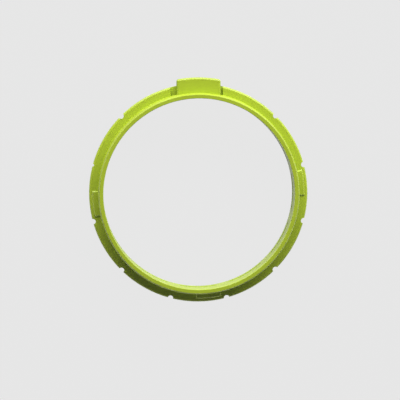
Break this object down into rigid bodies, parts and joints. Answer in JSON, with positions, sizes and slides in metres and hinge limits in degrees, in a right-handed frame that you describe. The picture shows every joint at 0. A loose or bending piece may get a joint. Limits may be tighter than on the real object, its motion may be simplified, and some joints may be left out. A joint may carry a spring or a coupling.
{
  "type": "hub-centric spigot ring",
  "caption": "Thin plastic centring ring: a bevelled spigot tube with a slim notched flange, low seating pads and one raised pull tab between two relief slots.",
  "frame": {"origin": "on the bore's axis, in the plane of the flange's seating face", "axes": "+Z along the bore towards the spigot's tip, +Y towards the pull tab, +X completes the right-handed frame"},
  "size_m": [0.0764, 0.0785, 0.012],
  "materials": {
    "moulding": "lime-green injection-moulded plastic, semi-gloss, fine moulding texture"
  },
  "bodies": {
    "root": {"spigot": "moulding", "stop_flange": "moulding", "rear_collar": "moulding", "pull_tab": "moulding", "slot_web_left": "moulding", "slot_web_right": "moulding", "pad_right": "moulding", "pad_left": "moulding", "pad_bottom": "moulding"}
  },
  "joints": []
}
